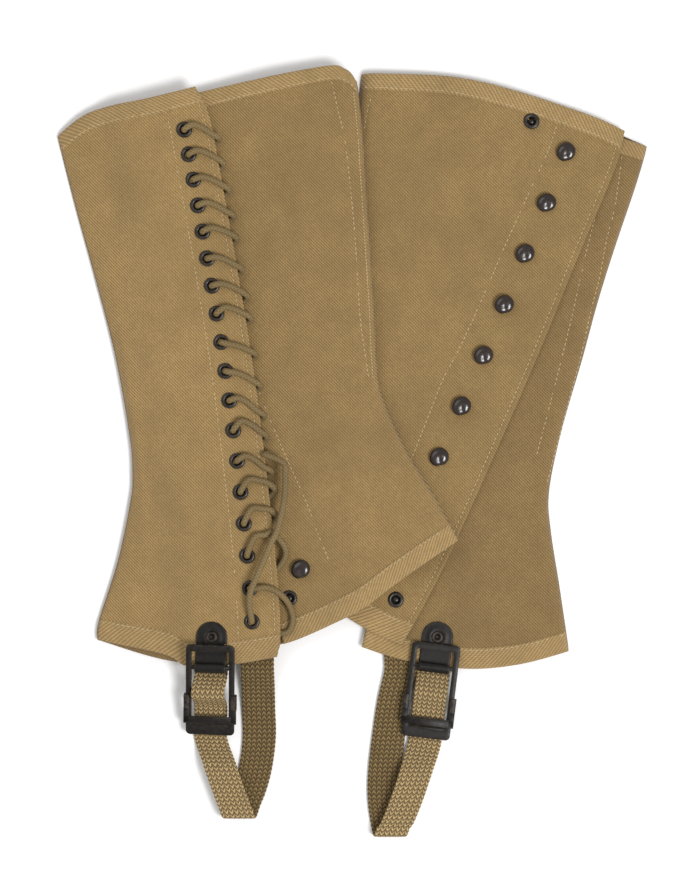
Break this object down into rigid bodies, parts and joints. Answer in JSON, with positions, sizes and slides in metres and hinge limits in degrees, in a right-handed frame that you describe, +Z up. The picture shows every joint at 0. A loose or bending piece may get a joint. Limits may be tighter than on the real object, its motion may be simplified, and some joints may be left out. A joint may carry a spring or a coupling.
{
  "type": "gaiter",
  "caption": "A pair of khaki canvas leg gaiters with side lacing, blackened hooks and eyelets, and webbing instep straps with sliding buckles, laid flat one over the other.",
  "frame": {"origin": "a point on the flat underside of the left leg's gaiter, in the plane of the table", "axes": "+Y up the leg, from the instep straps to the calf edges, +X from the right leg's gaiter to the left leg's, +Z up off the table"},
  "size_m": [0.3392, 0.445, 0.0271],
  "materials": {
    "canvas": "matte",
    "tape": "matte",
    "webbing": "matte",
    "lace": "matte",
    "blackened_metal": "satin"
  },
  "bodies": {
    "left_gaiter": {"left_inner_panel": "canvas", "left_rear_panel": "canvas", "left_rear_bottom_binding": "tape", "left_front_panel": "canvas", "left_front_bottom_binding": "tape", "left_hook_7": "blackened_metal", "left_hook_8": "blackened_metal", "left_hook_9": "blackened_metal", "left_bottom_eyelet": "blackened_metal", "left_chape": "blackened_metal", "left_chape_rivet": "blackened_metal", "left_strap": "webbing"},
    "left_hook_flap": {"left_hook_flap": "canvas", "left_flap_top_binding": "tape", "left_hook_facing": "canvas", "left_hook_1": "blackened_metal", "left_hook_2": "blackened_metal", "left_hook_3": "blackened_metal", "left_hook_4": "blackened_metal", "left_hook_5": "blackened_metal", "left_hook_6": "blackened_metal", "left_top_eyelet": "blackened_metal"},
    "left_buckle": {"left_buckle_frame": "blackened_metal"},
    "left_slider": {"left_buckle_slider": "blackened_metal"},
    "right_gaiter": {"right_inner_panel": "canvas", "right_rear_panel": "canvas", "right_front_panel": "canvas", "right_hook_facing": "canvas", "right_front_top_binding": "tape", "right_front_bottom_binding": "tape", "right_hook": "blackened_metal", "right_front_eyelet": "blackened_metal", "right_strap": "webbing"},
    "right_eyelet_flap": {"right_eyelet_flap": "canvas", "right_eyelet_facing": "canvas", "right_flap_top_binding": "tape", "right_flap_bottom_binding": "tape", "right_eyelet_01": "blackened_metal", "right_eyelet_02": "blackened_metal", "right_eyelet_03": "blackened_metal", "right_eyelet_04": "blackened_metal", "right_eyelet_05": "blackened_metal", "right_eyelet_06": "blackened_metal", "right_eyelet_07": "blackened_metal", "right_eyelet_08": "blackened_metal", "right_eyelet_09": "blackened_metal", "right_eyelet_10": "blackened_metal", "right_eyelet_11": "blackened_metal", "right_eyelet_12": "blackened_metal", "right_eyelet_13": "blackened_metal", "right_eyelet_14": "blackened_metal", "right_eyelet_15": "blackened_metal", "right_eyelet_16": "blackened_metal", "right_eyelet_17": "blackened_metal", "right_eyelet_18": "blackened_metal", "right_lace": "lace", "right_chape": "blackened_metal", "right_chape_rivet": "blackened_metal"},
    "right_buckle": {"right_buckle_frame": "blackened_metal"},
    "right_slider": {"right_buckle_slider": "blackened_metal"}
  },
  "joints": [
    {"name": "right_gaiter_lift", "type": "slide", "parent": "left_gaiter", "child": "right_gaiter", "axis": [0, 0, 1], "range_m": [0, 0.08]},
    {"name": "right_eyelet_flap_open", "type": "hinge", "parent": "right_gaiter", "child": "right_eyelet_flap", "pos_m": [-0.12918, 0.0395, 0.00783], "axis": [0.1351, -0.9908, 0.0091], "range_deg": [0, 135], "deforming": ["right_strap"]},
    {"name": "right_buckle_swing", "type": "hinge", "parent": "right_eyelet_flap", "child": "right_buckle", "pos_m": [-0.08118, -0.12349, 0.01894], "axis": [-0.9971, 0.0349, -0.0671], "range_deg": [0, 20], "deforming": ["right_strap"]},
    {"name": "right_slider_grip", "type": "slide", "parent": "right_buckle", "child": "right_slider", "axis": [0.0124, 0.9505, 0.3105], "range_m": [0, 0.005], "deforming": ["right_strap"]},
    {"name": "left_hook_flap_fold", "type": "hinge", "parent": "left_gaiter", "child": "left_hook_flap", "pos_m": [0.0415, 0.0865, 0.0072], "axis": [0.1589, -0.9873, 0], "range_deg": [0, 90]},
    {"name": "left_buckle_swing", "type": "hinge", "parent": "left_gaiter", "child": "left_buckle", "pos_m": [0.04687, -0.12387, 0.00736], "axis": [-0.9925, 0.1219, 0], "range_deg": [0, 4.5], "deforming": ["left_strap"]},
    {"name": "left_slider_grip", "type": "slide", "parent": "left_buckle", "child": "left_slider", "axis": [0.1218, 0.9916, 0.0436], "range_m": [0, 0.005], "deforming": ["left_strap"]}
  ]
}
